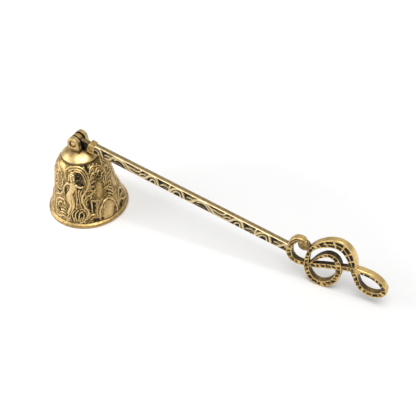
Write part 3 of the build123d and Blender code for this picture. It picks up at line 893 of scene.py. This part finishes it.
# The same cast brass, rubbed paler along the shaft, where it is held.
shaft_brass = antique_brass("cast_shaft_brass", "#1C1711", "#685841", "#AA946C", "#E4D0A2")
shaft.data.materials.append(shaft_brass)
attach(shaft, "handle")
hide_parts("shaft")

# Clef: one flat stroke that curls, runs out as the stem, turns round the loop and winds into the ring. It is
# cast in brass with a rail along each edge of its faces and cross bars between dark cells, and the rails are
# rubbed bright. The walls that face into the curves are painted dark as shade, and the outer walls are bright
# from rubbing and a painted highlight.
stroke_width = 2.7
bar_spacings = (2.4, 3.8)
stroke_rings = 900
stroke_corner = 0.26
clef_face_span = (0.85, 0.12)
cell_depth = 0.42
shallow_cell = 0.45
face_inset = 0.03
pit_height = 0.1
pit_share = 0.2
pit_limit = 0.15
wide_span = (1.55, 0.3)
fluted_length = 9
fluted_fade = 1.5
rail_shares = (0.67, 0.79)
bar_shares = (0.79, 0.86)
rib_share = 0.12
rib_edge = 0.06
sway = 0.08
sway_rate = 2.3
jitter = 0.16
jitter_rate = 1.9
bar_slant = 0.12
soft_edge = 0.14
face_wear = 0.8
cell_loss = 0.85
wall_wear_and_shading_low = 0.1
# Along and across as shares of the clef's size, width as a share of the stroke, half thickness, how far the
# cells lie to the left of the middle as a share of half the width, and the wear and painted light of the left
# and
# right wall: low where a wall faces into a curve, as painted shade, and high on outer walls, as rubbing and a
# painted highlight.
clef_path = np.array([
    (0.150, 0.220, 0.60, 1.5, 0, 0.2, 0.7), (0.128, 0.262, 0.75, 1.5, 0, 0.2, 0.7),
    (0.090, 0.262, 0.90, 1.5, 0, 0.2, 0.7), (0.052, 0.205, 1.00, 1.5, 0, 0.1, 0.6),
    (0.037, 0.115, 1.00, 1.5, 0, 0.1, 0.4), (0.041, 0.005, 1.00, 1.5, 0, 0.1, 0.3),
    (0.065, -0.090, 1.00, 1.5, 0, 0.1, 0.3), (0.104, -0.145, 0.95, 1.5, 0, 0.1, 0.3),
    (0.150, -0.163, 0.90, 1.4, 0, 0.1, 0.3), (0.200, -0.152, 0.90, 1.2, 0, 0.1, 0.3),
    (0.250, -0.122, 0.90, 1.1, 0, 0.0, 0.3), (0.304, -0.085, 1.00, 1.1, 0, 0.0, 0.3),
    (0.370, -0.020, 1.00, 1.1, 0, 0.0, 0.3), (0.474, 0.075, 1.00, 1.1, 0, 0.0, 0.3),
    (0.575, 0.158, 1.00, 1.1, 0, 0.1, 0.3), (0.620, 0.196, 1.00, 1.2, -0.1, 0.4, 0.2),
    (0.670, 0.226, 0.95, 1.4, -0.3, 0.7, 0.1), (0.740, 0.250, 0.90, 1.5, -0.4, 0.8, 0.1),
    (0.810, 0.254, 0.90, 1.5, -0.4, 0.8, 0.1), (0.878, 0.228, 0.90, 1.5, -0.4, 0.8, 0.1),
    (0.935, 0.175, 0.90, 1.5, -0.35, 0.7, 0.1), (0.968, 0.100, 0.90, 1.5, -0.2, 0.6, 0.1),
    (0.962, 0.025, 0.95, 1.5, 0, 0.5, 0.2), (0.925, -0.038, 1.00, 1.5, 0, 0.4, 0.3),
    (0.870, -0.072, 1.00, 1.5, 0, 0.4, 0.3), (0.810, -0.064, 0.95, 1.5, 0, 0.4, 0.2),
    (0.755, -0.020, 0.90, 1.5, 0, 0.4, 0.1), (0.705, 0.062, 0.90, 1.5, 0, 0.4, 0.1),
    (0.665, 0.150, 1.05, 1.5, 0.2, 0.2, 0.4), (0.630, 0.240, 1.25, 1.5, 0.3, 0.1, 0.7),
    (0.592, 0.348, 1.45, 1.5, 0.35, 0.1, 0.8), (0.543, 0.436, 1.65, 1.5, 0.3, 0.1, 0.8),
    (0.487, 0.497, 1.80, 1.5, 0.2, 0.1, 0.8), (0.420, 0.514, 1.80, 1.5, 0.1, 0.1, 0.8),
    (0.350, 0.472, 1.55, 1.5, 0.05, 0.1, 0.7), (0.290, 0.390, 1.25, 1.5, 0, 0.1, 0.6),
    (0.245, 0.290, 0.95, 1.5, 0, 0.1, 0.4), (0.220, 0.180, 0.75, 1.5, 0, 0.1, 0.3),
    (0.219, 0.070, 0.70, 1.5, 0, 0.1, 0.3), (0.230, -0.035, 0.75, 1.5, 0, 0.1, 0.3),
    (0.252, -0.145, 0.85, 1.5, 0, 0.1, 0.3), (0.290, -0.250, 0.95, 1.5, 0, 0.1, 0.3),
    (0.345, -0.330, 1.05, 1.5, 0, 0.2, 0.3), (0.410, -0.362, 1.10, 1.5, 0, 0.3, 0.3),
    (0.470, -0.335, 1.15, 1.5, 0, 0.3, 0.3), (0.515, -0.258, 1.10, 1.5, 0, 0.2, 0.3),
    (0.540, -0.150, 1.00, 1.5, 0, 0.1, 0.2), (0.542, -0.030, 1.00, 1.5, 0, 0.1, 0.1),
    (0.525, 0.085, 1.00, 1.5, 0, 0.1, 0.05), (0.490, 0.190, 0.95, 1.5, 0, 0.1, 0.05),
    (0.440, 0.250, 0.90, 1.45, 0, 0.1, 0.05), (0.385, 0.245, 0.80, 1.4, 0, 0.1, 0.05),
    (0.340, 0.180, 0.65, 1.35, 0, 0.1, 0.05), (0.308, 0.090, 0.50, 1.3, 0, 0.1, 0.05),
    (0.285, -0.010, 0.35, 1.2, 0, 0.1, 0.1), (0.266, -0.100, 0.25, 1.1, 0, 0.1, 0.1),
])
clef_scale = (clef_length, clef_height, stroke_width / 2, 1, 1, 1, 1)
clef_line = curve_through(clef_path * clef_scale, stroke_rings)
heading = np.gradient(clef_line[:, :2], axis=0)
heading /= np.linalg.norm(heading, axis=1)[:, None]
steps = np.linalg.norm(np.diff(clef_line[:, :2], axis=0), axis=1)
travelled = np.concatenate([[0], np.cumsum(steps)])[:, None]
half_width, half_depth, cell_middle = (clef_line[:, [column]] for column in (2, 3, 4))
left_wall_wear_and_shading, right_wall_wear_and_shading = (clef_line[:, [column]] for column in (5, 6))
edge_share, depth_share = section_loop(34, 8, stroke_corner)
clef_face = share_above(np.abs(depth_share), *clef_face_span)

# The cells lie between the rails and the bars. The bars are uneven where the stroke is narrow, and the wide
# part and the fluted start have a rib along the middle. A sine of large steps gives each cell its own depth.
wide = share_above(half_width, *wide_span)
fluted = share_above(fluted_length, travelled, fluted_fade)
from_middle = edge_share - cell_middle - sway * np.sin(sway_rate * travelled) * (1 - wide)
bay = np.cumsum(np.gradient(travelled, axis=0) / from_to(bar_spacings, wide), axis=0)
bay = bay + bar_slant * edge_share
bay = bay + jitter * np.sin(jitter_rate * travelled) * (1 - wide)
between_rails = share_above(from_to(rail_shares, wide), np.abs(from_middle), soft_edge)
between_bars = share_above(from_to(bar_shares, wide), 2 * np.abs(bay % 1 - 0.5), soft_edge)
between_bars = np.maximum(between_bars, fluted)
beside_rib = 1 - np.maximum(wide, fluted) * share_above(rib_share, np.abs(from_middle), rib_edge)
chance = (np.sin(np.floor(bay) * 12.9898 + np.sign(from_middle) * 78.233) * 43758.5453) % 1
cell_level = np.maximum(shallow_cell + (1 - shallow_cell) * chance, wide)
cell = clef_face * between_rails * between_bars * beside_rib * cell_level
pitted = soften(np.random.default_rng(3).standard_normal(cell.shape), 3)
pitted = pit_height * clef_face * pitted / pitted.std()
side = edge_share * half_width
clef_along = shaft_end + clef_line[:, :1] - heading[:, 1:] * side
clef_across = clef_line[:, 1:2] + heading[:, :1] * side
pits = pit_share * np.clip(pitted, -pit_limit, pit_limit)
clef_depth = depth_share * (half_depth - cell_depth * cell - face_inset + pits)
clef_places = on_handle(clef_along, clef_across, clef_depth)
clef_places[..., 2] = np.maximum(clef_places[..., 2], 0)
# Wear and painted light on the walls: painted shade where a wall faces into a curve, rubbing and a painted
# highlight on outer walls.
wall_wear_and_shading = wall_wear_and_shading_low + np.where(edge_share > 0, left_wall_wear_and_shading, right_wall_wear_and_shading)
clef_wear_and_shading = clef_face * (face_wear - cell_loss * cell + pitted) + (1 - clef_face) * wall_wear_and_shading
clef_wear_and_shading = np.clip(clef_wear_and_shading, 0, 1)
clef = grid_mesh("clef_stroke", clef_places, clef_wear_and_shading, closed_loop=False)
clef.data.materials.append(handle_brass)
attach(clef, "handle")
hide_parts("clef")

# Curl: the knob that the hook of the clef winds round, cast with it. Its face is hatched with crossing cuts,
# and the patina stays in them.
curl_middle = (shaft_end + 0.150 * clef_length, 0.19 * clef_height)
curl_radius = 2.9
curl_half_depth = 1.6
curl_power = 0.6
# Radians of the hatching for each millimetre.
hatch_rate = 3.4
hatch_depth = 0.2
hatch_power = 5
curl_wear_high = 0.75
hatch_loss = 0.65
pole_share = 0.97
rise = np.linspace(-pole_share * np.pi / 2, pole_share * np.pi / 2, 56)[:, None]
spin = np.linspace(0, 2 * np.pi, 96, endpoint=False)[None, :]
curl_reach = curl_radius * np.cos(rise) ** curl_power
curl_side = curl_reach * np.cos(spin)
curl_up = curl_reach * np.sin(spin)
one_way = np.abs(np.sin(hatch_rate * (curl_side + curl_up)))
other_way = np.abs(np.sin(hatch_rate * (curl_side - curl_up)))
hatch = np.maximum(one_way, other_way) ** hatch_power
curl_depth = np.sin(rise) * (curl_half_depth - hatch_depth * hatch * np.abs(np.sin(rise)))
curl_places = on_handle(curl_middle[0] + curl_side, curl_middle[1] + curl_up, curl_depth)
curl_wear = np.clip(curl_wear_high - hatch_loss * hatch, 0, 1)
curl = grid_mesh("clef_curl", curl_places, curl_wear, closed_loop=False)
curl.data.materials.append(handle_brass)
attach(curl, "handle")

# Floor: a sheet of white paper on the table. It keeps the soft shadow under the snuffer, and further off it
# glows as white as the room, so that no horizon shows. Its sizes are in metres.
floor_half = 2.0
glow_middle = (0.08, -0.02, 0)
glow_starts = 0.08
glow_full = 0.45
glow_low = 0.1
floor_mesh = bpy.data.meshes.new("floor")
floor_corners = np.array([(-1, -1, 0), (1, -1, 0), (1, 1, 0), (-1, 1, 0)]) * floor_half
floor_mesh.from_pydata(floor_corners.tolist(), [], [(0, 1, 2, 3)])
floor = bpy.data.objects.new("floor", floor_mesh)
bpy.context.collection.objects.link(floor)
# Matt white paper: it scatters light evenly and has no gloss.
white = bpy.data.materials.new("white_paper")
white.use_nodes = True
white_tree = white.node_tree
white_shader = white_tree.nodes["Principled BSDF"]
white_shader.inputs["Base Color"].default_value = linear("#F4F4F4")
white_shader.inputs["Roughness"].default_value = 0.9
white_shader.inputs["Specular IOR Level"].default_value = 0.0
white_shader.inputs["Emission Color"].default_value = (1, 1, 1, 1)


def seen_directly(tree, unseen, seen):
    """Strength for rays that show a surface, straight or in a mirror, beside that for rays that light."""
    ray = add_node(tree, "ShaderNodeLightPath").outputs
    mirror = add_node(tree, "ShaderNodeMath", {
        0: ray["Is Glossy Ray"], 1: ray["Is Transmission Ray"],
    }, operation="MAXIMUM").outputs[0]
    shown = add_node(tree, "ShaderNodeMath", {0: ray["Is Camera Ray"], 1: mirror}, operation="MAXIMUM")
    return add_node(tree, "ShaderNodeMapRange", {
        "Value": shown.outputs[0], "To Min": unseen, "To Max": seen,
    }).outputs["Result"]


paper_spot = add_node(white_tree, "ShaderNodeTexCoord").outputs["Object"]
far_off = add_node(white_tree, "ShaderNodeVectorMath", {
    0: paper_spot, 1: glow_middle,
}, operation="DISTANCE").outputs["Value"]
glow = add_node(white_tree, "ShaderNodeMapRange", {
    "Value": far_off, "From Min": glow_starts, "From Max": glow_full, "To Min": glow_low, "To Max": 1.0,
}).outputs["Result"]
shown_glow = add_node(white_tree, "ShaderNodeMath", {
    0: seen_directly(white_tree, 0.0, 1.0), 1: glow,
}, operation="MULTIPLY").outputs[0]
white_tree.links.new(shown_glow, white_shader.inputs["Emission Strength"])
floor_mesh.materials.append(white)

# Light: one soft box overhead and a little to the front, and a weak card on the left. The room is pale, and
# darker low down so that the brass has something to mirror. The camera itself sees it white.
room_levels = (0.32, 0.85)
room_heights = (-0.1, 0.9)
matt_share = 0.35
light_size = 0.5
# Name, watts, place in metres and turn in degrees.
lights = (
    ("soft_box", 4.0, (0.15, -0.155, 0.72), (12, 5, 0)),
    ("fill_card", 2.0, (-0.55, -0.30, 0.30), (62, 0, -62)),
)
for name, watts, place, turn in lights:
    light = bpy.data.lights.new(name, "AREA")
    light.size = light_size
    light.energy = watts
    lamp = bpy.data.objects.new(name, light)
    lamp.location = place
    lamp.rotation_euler = np.radians(turn).tolist()
    bpy.context.collection.objects.link(lamp)
world = bpy.data.worlds.new("pale_room")
bpy.context.scene.world = world
world.use_nodes = True
sky = world.node_tree
toward = add_node(sky, "ShaderNodeTexCoord").outputs["Generated"]
upward = add_node(sky, "ShaderNodeSeparateXYZ", {0: toward}).outputs["Z"]
room = add_node(sky, "ShaderNodeMapRange", {
    "Value": upward, "From Min": room_heights[0], "From Max": room_heights[1],
    "To Min": room_levels[0], "To Max": room_levels[1],
}).outputs["Result"]
ray = add_node(sky, "ShaderNodeLightPath").outputs
dim = add_node(sky, "ShaderNodeMapRange", {
    "Value": ray["Is Diffuse Ray"], "To Min": 1.0, "To Max": matt_share,
}).outputs["Result"]
room_light = add_node(sky, "ShaderNodeMath", {0: room, 1: dim}, operation="MULTIPLY").outputs[0]
strength = add_node(sky, "ShaderNodeMath", {0: room_light, 1: ray["Is Camera Ray"]}, operation="MAXIMUM")
sky.links.new(strength.outputs[0], sky.nodes["Background"].inputs["Strength"])
sky.nodes["Background"].inputs["Color"].default_value = (1, 1, 1, 1)

# Camera: from the front and above, with the lens and the distance that give the photograph's perspective. It
# is placed so that the middle of the bell's mouth falls on its pixel in the square image.
image_size = 416
focal_pixels = 580.0
view_azimuth = np.radians(26.0)
view_elevation = np.radians(43.2)
mouth_distance = 296.9
mouth_pixel = np.array([89.54, 201.38])
back = np.array([
    np.sin(view_azimuth) * np.cos(view_elevation),
    -np.cos(view_azimuth) * np.cos(view_elevation),
    np.sin(view_elevation),
])
right = np.array([np.cos(view_azimuth), np.sin(view_azimuth), 0.0])
up = np.cross(back, right)
mouth_aside, mouth_below = (mouth_pixel - image_size / 2) / focal_pixels * mouth_distance
pose = np.eye(4)
eye = mouth_distance * back - mouth_aside * right + mouth_below * up
pose[:3] = np.column_stack([right, up, back, eye * MM])
camera_data = bpy.data.cameras.new("camera")
camera_data.sensor_width = 36.0
camera_data.lens = camera_data.sensor_width * focal_pixels / image_size
camera_data.clip_start = 0.01
camera = bpy.data.objects.new("camera", camera_data)
camera.matrix_world = Matrix(pose.tolist())
bpy.context.collection.objects.link(camera)
bpy.context.scene.camera = camera
bpy.context.scene.view_settings.view_transform = "Standard"
